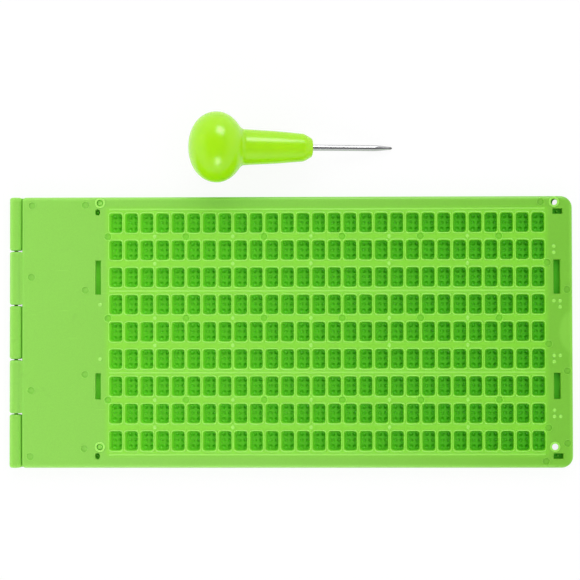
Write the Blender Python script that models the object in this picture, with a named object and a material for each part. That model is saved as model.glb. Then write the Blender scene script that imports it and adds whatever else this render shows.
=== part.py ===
"""Hinged plastic braille writing slate, 28 cells by 9 lines, with its ball-handled stylus beside it.

Metres, +Z up. The origin is the centre of the slate's underside, +X runs along the writing lines and
away from the hinge, +Y runs up the page. The cover lies closed on the pit plate.
"""

import math

import bmesh
import bpy
from mathutils import Matrix, Vector

# Writing grid, which sets the size of the leaves and the place of all that is on them
CELLS = 28
LINES = 9
CELL_PITCH = 0.0061
LINE_PITCH = 0.01063
DOT_PITCH = 0.0024
GRID_Y = 0.0002

# Leaves
HINGE_MARGIN = 0.03895
FREE_MARGIN = 0.01035
END_MARGIN = 0.005065
BASE_THICKNESS = 0.0026
COVER_THICKNESS = 0.0021
LEAF_GAP = 0.0003
FREE_CORNER = 0.0045
HINGE_CORNER = 0.0008
COVER_ROUND = 0.0006
BASE_ROUND = 0.0005
CORNER_STEPS = 4
ROUND_STEPS = 2

# Hinge along the short left side
KNUCKLES = 5
KNUCKLE_RADIUS = 0.0025
KNUCKLE_GAP = 0.0004
KNUCKLE_ROUND = 0.00035
KNUCKLE_SIDES = 24
HINGE_CLEARANCE = 0.00055
PIN_RADIUS = 0.00075
PIN_RECESS = 0.001
PIN_SIDES = 12
FIT_GAP = 0.0003

# Windows in the cover, and the bars between them
WINDOW_BAR = 0.001
LINE_BAR = 0.00298
WINDOW_CORNER = 0.0011

# Relief on the cover: ridges between groups of lines, counting dots and line numbers
RELIEF = 0.0003
RIDGE_WIDTH = 0.0008
RIDGE_OVERHANG = 0.00015
RIDGE_SLOPE = 0.00015
LINES_PER_GROUP = 3
RELIEF_DOT_RADIUS = 0.00065
RELIEF_DOT_SLOPE = 0.0003
RELIEF_DOT_SIDES = 6
COUNT_CELLS = 5

# Paper slots, pins and ringed holes in the two side margins
SLOT_LEFT_INSET = 0.0037
SLOT_RIGHT_INSET = 0.0044
SLOT_LINES = 2
SLOT_TALL = 0.01325
SLOT_SHORT = 0.0101
SLOT_LEFT_WIDTH = 0.0021
SLOT_RIGHT_WIDTH = 0.00255
SLOT_CORNER = 0.0003
PAPER_PIN_Y = -0.0010
PAPER_PIN_RADIUS = 0.0006
PAPER_PIN_TIP = 0.00012
PAPER_PIN_RISE = 0.0017
PAPER_PIN_SIDES = 8
PIN_HOLE_WIDTH = 0.0018
PIN_HOLE_HEIGHT = 0.0024
PIN_HOLE_CORNER = 0.0006
PIN_SLOT_WIDTH = 0.0038
PIN_SLOT_HEIGHT = 0.0021
RING_Y = 0.0026
RING_INSET = 0.0007
RING_RADIUS = 0.00185
RING_HOLE_RADIUS = 0.00125
RING_SIDES = 16
POST_RISE = 0.0018

# Stylus, measured along its axis from the top of the ball
KNOB_RADIUS = 0.01365
KNOB_HALF_LENGTH = 0.011
KNOB_FLATNESS = 2.12
KNOB_TAPER = 1.92
NECK_RADIUS = 0.0070
NECK_START = 0.0203
NECK_FILLET = 0.0013
GRIP_END = 0.0442
GRIP_END_RADIUS = 0.0055
SHOULDER_END = 0.0461
SHOULDER_RADIUS = 0.0048
HANDLE_LENGTH = 0.0481
FACE_RADIUS = 0.0036
HANDLE_SIDES = 32
KNOB_STEPS = 14
NEEDLE_RADIUS = 0.0012
NEEDLE_SEAT = 0.022
NEEDLE_REACH = 0.03225
POINT_LENGTH = 0.0062
POINT_RADIUS = 0.0005
NEEDLE_SIDES = 16
POINT_STEPS = 4
STYLUS_X = -0.0278
STYLUS_GAP = 0.00482
STYLUS_TURN = math.radians(0.72)

# How far a cutting tool runs past what it cuts, and how near two corners are one
OVERRUN = 0.002
MERGE_DISTANCE = 0.000002

# Sizes and places worked out from those above
GRID_LENGTH = CELLS * CELL_PITCH
GRID_WIDTH = LINES * LINE_PITCH
SLATE_LENGTH = HINGE_MARGIN + GRID_LENGTH + FREE_MARGIN
SLATE_WIDTH = GRID_WIDTH + 2 * END_MARGIN
SLATE_RIGHT = SLATE_LENGTH / 2
HALF_WIDTH = SLATE_WIDTH / 2
GRID_X = (HINGE_MARGIN - FREE_MARGIN) / 2
MARGIN_LEFT_X = GRID_X - GRID_LENGTH / 2 - SLOT_LEFT_INSET
MARGIN_RIGHT_X = GRID_X + GRID_LENGTH / 2 + SLOT_RIGHT_INSET
WINDOW_WIDTH = CELL_PITCH - WINDOW_BAR
WINDOW_HEIGHT = LINE_PITCH - LINE_BAR
HINGE_X = -SLATE_LENGTH / 2 + KNUCKLE_RADIUS
HINGE_Z = BASE_THICKNESS + LEAF_GAP / 2
LEAF_EDGE_X = HINGE_X + KNUCKLE_RADIUS + HINGE_CLEARANCE
COVER_LOW = BASE_THICKNESS + LEAF_GAP
COVER_HIGH = COVER_LOW + COVER_THICKNESS
STYLUS_Y = HALF_WIDTH + STYLUS_GAP + KNOB_RADIUS


def empty_scene():
    """Removes every object that the file starts with."""
    for item in list(bpy.data.objects):
        bpy.data.objects.remove(item, do_unlink=True)


def linear(value):
    """One sRGB channel, 0 to 1, as linear light."""
    return value / 12.92 if value <= 0.04045 else ((value + 0.055) / 1.055) ** 2.4


def plain_material(name, colour, roughness, metallic=0.0):
    """A Principled material in one colour, given as a six-digit hex string."""
    material = bpy.data.materials.new(name)
    material.use_nodes = True
    shader = material.node_tree.nodes["Principled BSDF"]
    channels = [linear(int(colour[i:i + 2], 16) / 255) for i in (0, 2, 4)]
    shader.inputs["Base Color"].default_value = (*channels, 1.0)
    shader.inputs["Roughness"].default_value = roughness
    shader.inputs["Metallic"].default_value = metallic
    return material


def add_object(name, bm, material=None):
    """Turns a finished bmesh into an object of the scene, its faces pointing outwards."""
    bmesh.ops.recalc_face_normals(bm, faces=bm.faces)
    mesh = bpy.data.meshes.new(name)
    bm.to_mesh(mesh)
    bm.free()
    item = bpy.data.objects.new(name, mesh)
    bpy.context.scene.collection.objects.link(item)
    if material:
        mesh.materials.append(material)
    return item


def combine(target, bm, operation):
    """Joins a closed shape to the target, or cuts it out, and applies the result."""
    tool = add_object(target.name + "_tool", bm)
    tool.hide_render = True
    tool.display_type = "WIRE"
    modifier = target.modifiers.new(operation.lower(), "BOOLEAN")
    modifier.operation = operation
    modifier.solver = "EXACT"
    modifier.object = tool
    result = bpy.data.meshes.new_from_object(target.evaluated_get(bpy.context.evaluated_depsgraph_get()))
    target.modifiers.clear()
    target.data = result
    bpy.data.objects.remove(tool, do_unlink=True)


def smooth(item, angle=math.radians(35)):
    """Shades a turned piece smooth, keeping edges over the angle sharp."""
    item.data.shade_smooth()
    item.data.set_sharp_from_angle(angle=angle)


def set_origin(item, point):
    """Moves an object's origin to a point without moving its surface."""
    item.data.transform(Matrix.Translation(-Vector(point)))
    item.location = point


def arc(centre_x, centre_y, radius, start, sweep, steps):
    """Points along a circular arc, both ends included."""
    turns = [start + sweep * i / steps for i in range(steps + 1)]
    return [(centre_x + radius * math.cos(a), centre_y + radius * math.sin(a)) for a in turns]


def rounded_box(centre_x, centre_y, width, height, corner, steps=1):
    """Outline of a rectangle with rounded corners, anticlockwise. One step makes a plain chamfer."""
    points = []
    for quarter, (side_x, side_y) in enumerate(((1, 1), (-1, 1), (-1, -1), (1, -1))):
        corner_x = centre_x + side_x * (width / 2 - corner)
        corner_y = centre_y + side_y * (height / 2 - corner)
        points += arc(corner_x, corner_y, corner, quarter * math.pi / 2, math.pi / 2, steps)
    return points


def ring_points(centre_x, centre_y, radius, sides):
    """Outline of a round hole or disc."""
    return arc(centre_x, centre_y, radius, 0.0, math.tau, sides)[:-1]


def knuckle_bands():
    """The Y range of each hinge knuckle, from the top of the page down."""
    length = (SLATE_WIDTH - (KNUCKLES - 1) * KNUCKLE_GAP) / KNUCKLES
    tops = [HALF_WIDTH - i * (length + KNUCKLE_GAP) for i in range(KNUCKLES)]
    return [(top, top - length) for top in tops]


def leaf_outline(first):
    """Outline of a leaf, anticlockwise. The leaf owns every second knuckle from the first on, and has a
    tongue out to the hinge axis for each of them."""
    quarter = math.pi / 2
    free_x = SLATE_RIGHT - FREE_CORNER
    free_y = HALF_WIDTH - FREE_CORNER
    points = arc(free_x, -free_y, FREE_CORNER, -quarter, quarter, CORNER_STEPS)
    points += arc(free_x, free_y, FREE_CORNER, 0.0, quarter, CORNER_STEPS)
    corner_x = LEAF_EDGE_X + HINGE_CORNER
    corner_y = HALF_WIDTH - HINGE_CORNER
    if first > 0:
        points += arc(corner_x, corner_y, HINGE_CORNER, quarter, quarter, CORNER_STEPS)
    for top, bottom in knuckle_bands()[first::2]:
        points += [(LEAF_EDGE_X, top), (HINGE_X, top), (HINGE_X, bottom), (LEAF_EDGE_X, bottom)]
    if (KNUCKLES - 1 - first) % 2:
        points += arc(corner_x, -corner_y, HINGE_CORNER, 2 * quarter, quarter, CORNER_STEPS)
    return points


def add_loop(bm, points, height):
    """One closed loop of edges at a height."""
    corners = [bm.verts.new((x, y, height)) for x, y in points]
    return [bm.edges.new((a, b)) for a, b in zip(corners, corners[1:] + corners[:1])]


def fill_between(bm, edges):
    """Fills the flat area inside the outer loop and outside the loops within it."""
    filled = bmesh.ops.triangle_fill(bm, use_beauty=True, edges=edges)
    return [item for item in filled["geom"] if isinstance(item, bmesh.types.BMFace)]


def flat_plate(outline, openings, low, high, raised_areas=(), rings=()):
    """A flat plate with all its openings, as a closed solid. Each raised area is an outline, the width of its
    sloping side and its rise. Each ring is the outline of a raised ring and that of the hole through it."""
    bm = bmesh.new()
    area_marks = bm.faces.layers.int.new("raised_area")
    edges = []
    for points in [outline, *openings]:
        edges += add_loop(bm, points, low)
    area_edges = [add_loop(bm, points, low) for points, slope, rise in raised_areas]
    ring_edges = [add_loop(bm, points, low) for points, hole in rings]
    faces = fill_between(bm, edges + [edge for loop in area_edges + ring_edges for edge in loop])
    for number, loop in enumerate(area_edges, 1):
        area = bm.faces.new([edge.verts[0] for edge in loop])
        area[area_marks] = number
        faces.append(area)
    for (points, hole), loop in zip(rings, ring_edges):
        ring = fill_between(bm, loop + add_loop(bm, hole, low))
        for face in ring:
            face[area_marks] = -1
        faces += ring
    lifted = bmesh.ops.extrude_face_region(bm, geom=faces)["geom"]
    corners = [item for item in lifted if isinstance(item, bmesh.types.BMVert)]
    bmesh.ops.translate(bm, verts=corners, vec=(0.0, 0.0, high - low))
    bmesh.ops.recalc_face_normals(bm, faces=bm.faces)
    tops = [item for item in lifted if isinstance(item, bmesh.types.BMFace)]
    for face in [face for face in tops if face[area_marks] > 0]:
        points, slope, rise = raised_areas[face[area_marks] - 1]
        bmesh.ops.inset_individual(bm, faces=[face], thickness=slope, depth=rise, use_even_offset=True)
    ring_tops = [face for face in tops if face.is_valid and face[area_marks] < 0]
    if ring_tops:
        lifted = bmesh.ops.extrude_face_region(bm, geom=ring_tops)["geom"]
        corners = [item for item in lifted if isinstance(item, bmesh.types.BMVert)]
        bmesh.ops.translate(bm, verts=corners, vec=(0.0, 0.0, RELIEF))
        bmesh.ops.delete(bm, geom=[face for face in ring_tops if face.is_valid], context="FACES")
    return bm


def round_edge(bm, outline, height, radius):
    """Rounds the plate's outer edge at one height, except along the hinge side."""
    places = [(x, y) for x, y in outline if x > LEAF_EDGE_X - FIT_GAP]

    def on_rim(corner):
        x, y, z = corner.co
        return abs(z - height) < FIT_GAP / 2 and any(
            math.hypot(x - rim_x, y - rim_y) < FIT_GAP / 2 for rim_x, rim_y in places)

    rim = [edge for edge in bm.edges if all(on_rim(corner) for corner in edge.verts)]
    rim = [edge for edge in rim if edge.calc_face_angle() > math.pi / 4]
    rim = [edge for edge in rim if max(corner.co.x for corner in edge.verts) > LEAF_EDGE_X + FIT_GAP]
    bmesh.ops.bevel(bm, geom=rim, offset=radius, segments=ROUND_STEPS, profile=0.5, affect="EDGES")


def cylinder(radius, depth, sides, place):
    """A closed round bar at a matrix."""
    bm = bmesh.new()
    bmesh.ops.create_cone(
        bm, cap_ends=True, segments=sides, radius1=radius, radius2=radius, depth=depth, matrix=place)
    return bm


def along_y(x, y, z):
    """Matrix that lays a bar along Y with its middle at the point."""
    return Matrix.Translation((x, y, z)) @ Matrix.Rotation(math.pi / 2, 4, "X")


def add_knuckles(leaf, first):
    """Joins every second hinge knuckle, from the first on, to the leaf, and bores them for the pin."""
    for top, bottom in knuckle_bands()[first::2]:
        place = along_y(HINGE_X, (top + bottom) / 2, HINGE_Z)
        knuckle = cylinder(KNUCKLE_RADIUS, top - bottom, KNUCKLE_SIDES, place)
        ends = [edge for edge in knuckle.edges if edge.calc_face_angle() > math.pi / 4]
        bmesh.ops.bevel(knuckle, geom=ends, offset=KNUCKLE_ROUND, segments=1, profile=0.5, affect="EDGES")
        combine(leaf, knuckle, "UNION")
    place = along_y(HINGE_X, 0.0, HINGE_Z)
    bore = cylinder(PIN_RADIUS + FIT_GAP, SLATE_WIDTH + 2 * OVERRUN, PIN_SIDES, place)
    combine(leaf, bore, "DIFFERENCE")


def cell_centre(column, line):
    """Centre of a cell, columns from the left and lines from the top."""
    x = GRID_X + (column - (CELLS - 1) / 2) * CELL_PITCH
    y = GRID_Y - (line - (LINES - 1) / 2) * LINE_PITCH
    return x, y


def register_places(rise):
    """Heights up the page of a pair of features, exactly one page of lines apart."""
    return [rise + GRID_WIDTH / 2, rise - GRID_WIDTH / 2]


def ring_centres():
    """Centres of the ringed holes: the two beside the hinge, then the two at the free side."""
    left_x = MARGIN_LEFT_X + RING_INSET
    right_x = MARGIN_RIGHT_X - RING_INSET
    return [[(x, y) for y in register_places(RING_Y)] for x in (left_x, right_x)]


def cover_openings():
    """Every through opening of the cover that has no ring, as outlines."""
    openings = []
    for line in range(LINES):
        for column in range(CELLS):
            x, y = cell_centre(column, line)
            openings.append(rounded_box(x, y, WINDOW_WIDTH, WINDOW_HEIGHT, WINDOW_CORNER))
    for x, width in ((MARGIN_LEFT_X, SLOT_LEFT_WIDTH), (MARGIN_RIGHT_X, SLOT_RIGHT_WIDTH)):
        for side, height in ((1, SLOT_TALL), (-1, SLOT_SHORT)):
            y = GRID_Y + side * SLOT_LINES * LINE_PITCH
            openings.append(rounded_box(x, y, width, height, SLOT_CORNER))
    for y in register_places(PAPER_PIN_Y):
        openings.append(rounded_box(MARGIN_LEFT_X, y, PIN_HOLE_WIDTH, PIN_HOLE_HEIGHT, PIN_HOLE_CORNER))
        openings.append(rounded_box(MARGIN_RIGHT_X, y, PIN_SLOT_WIDTH, PIN_SLOT_HEIGHT, SLOT_CORNER))
    return openings


def ridge_outline(line_edge):
    """A raised line across the grid, above the given line."""
    y = GRID_Y + (LINES / 2 - line_edge) * LINE_PITCH
    length = (CELLS - 1) * CELL_PITCH + WINDOW_WIDTH + 2 * RIDGE_OVERHANG
    x_low, x_high = GRID_X - length / 2, GRID_X + length / 2
    y_low, y_high = y - RIDGE_WIDTH / 2, y + RIDGE_WIDTH / 2
    return [(x_low, y_low), (x_high, y_low), (x_high, y_high), (x_low, y_high)]


def dot_places():
    """Places of all raised dots: one between every fifth cell, two in the margin, and the line numbers."""
    places = []
    for line in range(LINES - 1):
        if (line + 1) % LINES_PER_GROUP:
            for count in range(1, CELLS // COUNT_CELLS + 1):
                x, y = cell_centre(CELLS - COUNT_CELLS * count, line)
                places.append((x - CELL_PITCH / 2, y - LINE_PITCH / 2))
    places += [(MARGIN_LEFT_X + RING_INSET, GRID_Y + side * LINE_PITCH) for side in (1, -1)]
    # Each even line's number in braille, a dot's place given as columns right and rows down
    numbers = {2: ((0, 0), (0, 1)), 4: ((0, 0), (1, 0), (1, 1)),
               6: ((0, 0), (0, 1), (1, 0)), 8: ((0, 0), (0, 1), (1, 1))}
    for line, dots in numbers.items():
        y = cell_centre(0, line - 1)[1]
        places += [(MARGIN_RIGHT_X + (right - 0.5) * DOT_PITCH, y + (0.5 - down) * DOT_PITCH)
                   for right, down in dots]
    return places


def cover_relief():
    """The ridges and dots on the cover as raised areas."""
    ridges = [(ridge_outline(edge), RIDGE_SLOPE, RELIEF) for edge in range(0, LINES + 1, LINES_PER_GROUP)]
    dots = [(ring_points(x, y, RELIEF_DOT_RADIUS, RELIEF_DOT_SIDES), RELIEF_DOT_SLOPE, RELIEF)
            for x, y in dot_places()]
    return ridges + dots


def posts_and_pins():
    """The two posts in the left rings and the four tapered paper pins as raised areas of the pit plate."""
    radius = RING_HOLE_RADIUS - FIT_GAP
    areas = [(ring_points(x, y, radius, RING_SIDES), 0.0, POST_RISE) for x, y in ring_centres()[0]]
    taper = PAPER_PIN_RADIUS - PAPER_PIN_TIP
    for x in (MARGIN_LEFT_X, MARGIN_RIGHT_X):
        for y in register_places(PAPER_PIN_Y):
            areas.append((ring_points(x, y, PAPER_PIN_RADIUS, PAPER_PIN_SIDES), taper, PAPER_PIN_RISE))
    return areas


def hole_rings():
    """Outlines of the four raised rings, each with its hole."""
    return [(ring_points(x, y, RING_RADIUS, RING_SIDES), ring_points(x, y, RING_HOLE_RADIUS, RING_SIDES))
            for pair in ring_centres() for x, y in pair]


def make_cover(material):
    """The upper leaf with its windows, slots, relief and two knuckles. Its origin is on the hinge axis."""
    outline = leaf_outline(1)
    bm = flat_plate(outline, cover_openings(), COVER_LOW, COVER_HIGH, cover_relief(), hole_rings())
    round_edge(bm, outline, COVER_HIGH, COVER_ROUND)
    cover = add_object("cover", bm, material)
    add_knuckles(cover, 1)
    set_origin(cover, (HINGE_X, 0.0, HINGE_Z))
    return cover


def make_pit_plate(material):
    """The lower leaf with three knuckles, the paper pins, the two posts and the two through holes."""
    outline = leaf_outline(0)
    holes = ring_centres()[1]
    openings = [ring_points(x, y, RING_HOLE_RADIUS, RING_SIDES) for x, y in holes]
    bm = flat_plate(outline, openings, 0.0, BASE_THICKNESS, posts_and_pins())
    round_edge(bm, outline, 0.0, BASE_ROUND)
    plate = add_object("pit_plate", bm, material)
    add_knuckles(plate, 0)
    return plate


def make_hinge_pin(material):
    """The wire pin through all five knuckles."""
    length = SLATE_WIDTH - 2 * PIN_RECESS
    pin = add_object("hinge_pin", cylinder(PIN_RADIUS, length, PIN_SIDES, along_y(0.0, 0.0, 0.0)), material)
    pin.location = (HINGE_X, 0.0, HINGE_Z)
    smooth(pin)
    return pin


def turned(name, profile, sides, material):
    """A piece turned about its own Z axis from a profile of radius and height, axis to axis."""
    bm = bmesh.new()
    points = [bm.verts.new((radius, 0.0, height)) for radius, height in profile]
    edges = [bm.edges.new(pair) for pair in zip(points, points[1:])]
    bmesh.ops.spin(bm, geom=points + edges, cent=(0.0, 0.0, 0.0), axis=(0.0, 0.0, 1.0),
                   angle=math.tau, steps=sides)
    bmesh.ops.remove_doubles(bm, verts=bm.verts, dist=MERGE_DISTANCE)
    return add_object(name, bm, material)


def handle_profile():
    """Ball, neck, tapering grip and the blind bore for the needle."""
    points = [(0.0, 0.0)]
    for i in range(1, KNOB_STEPS):
        height = KNOB_HALF_LENGTH * (1.0 - math.cos(math.pi * i / KNOB_STEPS))
        power = KNOB_FLATNESS if height < KNOB_HALF_LENGTH else KNOB_TAPER
        reach = abs(1.0 - height / KNOB_HALF_LENGTH) ** power
        radius = KNOB_RADIUS * (1.0 - reach) ** (1.0 / power)
        if height > NECK_START - NECK_FILLET or (height > KNOB_HALF_LENGTH and radius < NECK_RADIUS):
            break
        points.append((radius, height))
    points += [(NECK_RADIUS + NECK_FILLET / 4, NECK_START - NECK_FILLET / 4),
               (NECK_RADIUS, NECK_START + NECK_FILLET),
               (GRIP_END_RADIUS, GRIP_END),
               (SHOULDER_RADIUS, SHOULDER_END),
               (FACE_RADIUS, HANDLE_LENGTH)]
    bore = NEEDLE_RADIUS + FIT_GAP
    floor = HANDLE_LENGTH - NEEDLE_SEAT - FIT_GAP
    points += [(bore, HANDLE_LENGTH), (bore, floor), (0.0, floor)]
    return points


def needle_profile():
    """Plain shank and a long taper to a rounded writing point."""
    start = HANDLE_LENGTH - NEEDLE_SEAT
    tip = HANDLE_LENGTH + NEEDLE_REACH
    points = [(0.0, start), (NEEDLE_RADIUS, start), (NEEDLE_RADIUS, tip - POINT_LENGTH)]
    for i in range(POINT_STEPS):
        turn = math.pi / 2 * i / POINT_STEPS
        points.append((POINT_RADIUS * math.cos(turn), tip - POINT_RADIUS * (1.0 - math.sin(turn))))
    return points + [(0.0, tip)]


def make_stylus(plastic, steel):
    """Handle and needle, lying on the ball and the writing point beside the slate."""
    reach = HANDLE_LENGTH + NEEDLE_REACH - POINT_RADIUS - KNOB_HALF_LENGTH
    tilt = math.asin((KNOB_RADIUS - POINT_RADIUS) / reach)
    rest = bpy.data.objects.new("stylus_rest", None)
    bpy.context.scene.collection.objects.link(rest)
    rest.rotation_mode = "QUATERNION"
    lay_down = Matrix.Rotation(math.pi / 2 + tilt, 4, "Y")
    turn = Matrix.Rotation(STYLUS_TURN, 4, "Z") @ lay_down
    rest.rotation_quaternion = turn.to_quaternion()
    knob_centre = turn @ Vector((0.0, 0.0, KNOB_HALF_LENGTH))
    rest.location = Vector((STYLUS_X, STYLUS_Y, KNOB_RADIUS)) - knob_centre
    handle = turned("stylus_handle", handle_profile(), HANDLE_SIDES, plastic)
    needle = turned("stylus_needle", needle_profile(), NEEDLE_SIDES, steel)
    for piece in (handle, needle):
        smooth(piece)
        piece.parent = rest
    return rest


def build():
    """Makes the whole slate and its stylus."""
    empty_scene()
    leaf_plastic = plain_material("green_abs", "8bdc48", 0.38)
    grip_plastic = plain_material("lime_plastic", "9ce61e", 0.12)
    steel = plain_material("steel", "b9babb", 0.25, 1.0)
    make_pit_plate(leaf_plastic)
    make_cover(leaf_plastic)
    make_hinge_pin(steel)
    make_stylus(grip_plastic, steel)


build()
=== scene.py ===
"""Looks of the hinged braille slate and its stylus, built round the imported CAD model."""

import math

import bmesh
import bpy
from mathutils import Matrix, Vector


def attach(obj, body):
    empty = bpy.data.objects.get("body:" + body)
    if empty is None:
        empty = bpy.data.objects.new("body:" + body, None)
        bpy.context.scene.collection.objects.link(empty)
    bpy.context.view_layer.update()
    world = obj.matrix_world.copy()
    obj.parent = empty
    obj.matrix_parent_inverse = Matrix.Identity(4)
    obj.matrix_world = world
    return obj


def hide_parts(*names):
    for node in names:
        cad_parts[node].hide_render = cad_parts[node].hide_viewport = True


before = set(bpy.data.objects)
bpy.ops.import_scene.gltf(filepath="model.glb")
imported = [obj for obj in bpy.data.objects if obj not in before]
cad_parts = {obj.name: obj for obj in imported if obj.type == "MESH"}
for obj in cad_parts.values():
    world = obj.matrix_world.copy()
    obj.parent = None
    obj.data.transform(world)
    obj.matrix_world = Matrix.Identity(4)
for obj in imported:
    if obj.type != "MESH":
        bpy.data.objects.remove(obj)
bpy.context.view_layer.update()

MM = 0.001

# Places this close count as one, cutters run this far past a surface, and relief starts this far inside one
SLACK = 0.01 * MM
OVERRUN = 1.0 * MM
ROOT = 0.3 * MM

# Sides of a small round bar or hole, and of a larger one
SMALL_SIDES = 24
LARGE_SIDES = 32

# Writing grid
CELLS = 28
LINES = 9
CELL_PITCH = 6.1 * MM
LINE_PITCH = 10.63 * MM
DOT_PITCH = 2.4 * MM
GRID_X = 14.3 * MM
GRID_Y = 0.2 * MM
GRID_LENGTH = CELLS * CELL_PITCH
GRID_WIDTH = LINES * LINE_PITCH
LINES_PER_GROUP = 3
COUNT_CELLS = 5

# Leaves
SLATE_RIGHT = 110.05 * MM
HALF_WIDTH = 52.9 * MM
HINGE_X = -107.55 * MM
HINGE_Z = 2.75 * MM
LEAF_EDGE_X = -104.95 * MM
BASE_TOP = 2.6 * MM
COVER_LOW = 2.9 * MM
COVER_TOP = 5.0 * MM
RELIEF_TOP = 5.28 * MM
FREE_CORNER = 4.5 * MM
HINGE_CORNER = 1.5 * MM
RIM_ROUND = 1.1 * MM
UNDER_ROUND = 0.3 * MM
PLATE_TOP_ROUND = 0.15 * MM
PLATE_LOW_ROUND = 0.5 * MM

# Hinge
KNUCKLES = 5
KNUCKLE_RADIUS = 2.49 * MM
KNUCKLE_GAP = 0.4 * MM
KNUCKLE_ROUND = 0.9 * MM
KNUCKLE_SIDES = 48
BORE_RADIUS = 1.05 * MM
TONGUE_TOP = 4.62 * MM
TONGUE_FLOOR = 0.88 * MM
TONGUE_ROOT = 0.6 * MM

# One window: its throat at the underside, which the photograph shows a little to the right, and the loops of
# its drafted wall and soft lip as width, height and level in millimetres
THROAT_WIDTH = 4.25 * MM
THROAT_HEIGHT = 7.15 * MM
THROAT_SHIFT = 0.36 * MM
WINDOW_CORNER = 0.85 * MM
LIP_LOOPS = ((4.84, 7.42, 4.6), (5.16, 7.74, 5.1), (5.56, 8.12, 5.23), (6.0, 8.56, 5.0))

# One dot pit, a little to the right as well: its rings as radius and depth in millimetres, and its depth
PIT_SHIFT = 0.6 * MM
PIT_SIDES = 8
PIT_LOOPS = ((0.9, 0.0), (0.64, 0.4), (0.3, 0.6))
PIT_DEPTH = 0.66 * MM

# Side margins. A span parts the upper of two features from the lower, and a rise lifts both
MARGIN_LEFT_X = -75.0 * MM
MARGIN_RIGHT_X = 103.93 * MM
PIN_HOLE_X = -75.2 * MM
PIN_SLOT_X = 104.25 * MM
RING_LEFT_X = -74.25 * MM
RING_RIGHT_X = 102.9 * MM
REGISTER_SPAN = GRID_WIDTH - 0.4 * MM
RING_RISE = 2.95 * MM
PIN_RISE = -0.65 * MM

# Slots in the margins, sizes as width and height
LEFT_SLOT_WIDTH = 2.1 * MM
RIGHT_SLOT_WIDTH = 2.55 * MM
UPPER_SLOT_HEIGHT = 13.25 * MM
LOWER_SLOT_HEIGHT = 10.1 * MM
SLOT_CORNER = 0.25 * MM
SLOT_FLARE = 0.18 * MM
PIN_HOLE_SIZE = (1.8 * MM, 2.4 * MM)
PIN_HOLE_CORNER = 0.8 * MM
PIN_SLOT_SIZE = (3.8 * MM, 2.1 * MM)
PIN_SLOT_FLARE = 0.1 * MM

# Relief of the upper leaf, and the ringed holes, the right ones wider underneath
RIDGE_TOP = 5.16 * MM
RIDGE_HALF_WIDTH = 0.42 * MM
RIDGE_INSET = 0.35 * MM
RIDGE_ROUND = 0.2 * MM
DOT_RADIUS = 0.95 * MM
DOT_FLATNESS = 0.6
DOT_FOOT = 0.15 * MM
DOT_LEVEL = RELIEF_TOP - 0.51 * MM
MARGIN_DOT_INSET = 0.8 * MM
RING_RADIUS = 2.05 * MM
RING_ROUND = 0.22 * MM
HOLE_RADIUS = 1.25 * MM
FLARE_RADII = (1.75 * MM, 1.2 * MM)
FLARE_START = COVER_LOW - 0.2 * MM
FLARE_END = COVER_LOW + 2.2 * MM

# Marks of the mould's ejector pins: a thin wall of flash round a dish, radii from below to above, and for
# the margins and the lattice the height of the flash and the depth of the dish
FLASH_RADII = (1.9 * MM, 1.62 * MM)
DISH_RADII = (1.2 * MM, 1.42 * MM)
DISH_OVERRUN = 0.2 * MM
MARGIN_MARK = (0.11 * MM, 0.36 * MM)
LATTICE_MARK = (0.15 * MM, 0.45 * MM)
MARGIN_MARK_PLACES = (
    (-100.9, 49.6), (-80.0, 49.8), (-101.1, 21.6), (-80.0, 16.5), (-101.2, -22.6), (-80.1, -16.4),
    (-80.4, -45.3), (-101.5, -48.4), (99.4, -50.3), (97.6, 50.6), (100.2, 27.0), (100.6, -4.7),
    (100.4, -37.3), (107.8, 16.4), (107.8, -15.2), (107.8, -43.3))

# The lower leaf's posts, paper pins, two holes (place along X and radius) and marks underneath
POST_RADIUS = 1.2 * MM
POST_TOP = 4.65 * MM
POST_ROUND = 0.5 * MM
PAPER_PIN_SIDES = 16
PAPER_PIN_RADII = (0.6 * MM, 0.12 * MM)
PAPER_PIN_LENGTH = 1.9 * MM
PAPER_PIN_LEVEL = BASE_TOP + 0.45 * MM
PAPER_PIN_ROUND = 0.08 * MM
PLATE_HOLES = ((104.2 * MM, 1.55 * MM), (103.6 * MM, 1.9 * MM))
PLATE_HOLE_RISE = 2.65 * MM
UNDER_MARK_COLUMNS = (-92.0 * MM, -40.0 * MM, 14.3 * MM, 68.0 * MM, 104.5 * MM)
UNDER_MARK_ROWS = (-38.0 * MM, 0.0, 38.0 * MM)
UNDER_MARK_RADIUS = 2.0 * MM
UNDER_MARK_DEPTH = 0.1 * MM


def deselect():
    """Lets go of every object."""
    bpy.ops.object.select_all(action="DESELECT")


def take(item):
    """Selects one object and makes it active."""
    deselect()
    item.select_set(True)
    bpy.context.view_layer.objects.active = item
    return item


def named(name):
    """Names the primitive that was just added."""
    item = bpy.context.object
    item.name = name
    item.data.name = name
    return item


def edit(item, kind="EDGE"):
    """Opens an object for shaping, nothing in it selected."""
    take(item)
    bpy.ops.object.mode_set(mode="EDIT")
    bpy.ops.mesh.select_mode(type=kind)
    bpy.ops.mesh.select_all(action="DESELECT")


def close():
    """Ends the shaping."""
    bpy.ops.object.mode_set(mode="OBJECT")


def pick(kind, test):
    """Selects the corners, edges or faces of the open object that pass a test, and nothing else."""
    bpy.ops.mesh.select_mode(type=kind)
    bpy.ops.mesh.select_all(action="DESELECT")
    bm = bmesh.from_edit_mesh(bpy.context.object.data)
    parts = {"VERT": bm.verts, "EDGE": bm.edges, "FACE": bm.faces}[kind]
    count = 0
    for part in parts:
        if test(part):
            part.select_set(True)
            count += 1
    bm.select_flush_mode()
    bmesh.update_edit_mesh(bpy.context.object.data)
    return count


def move(x=0.0, y=0.0, z=0.0):
    """Moves what is selected."""
    bpy.ops.transform.translate(value=(x, y, z))


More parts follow.
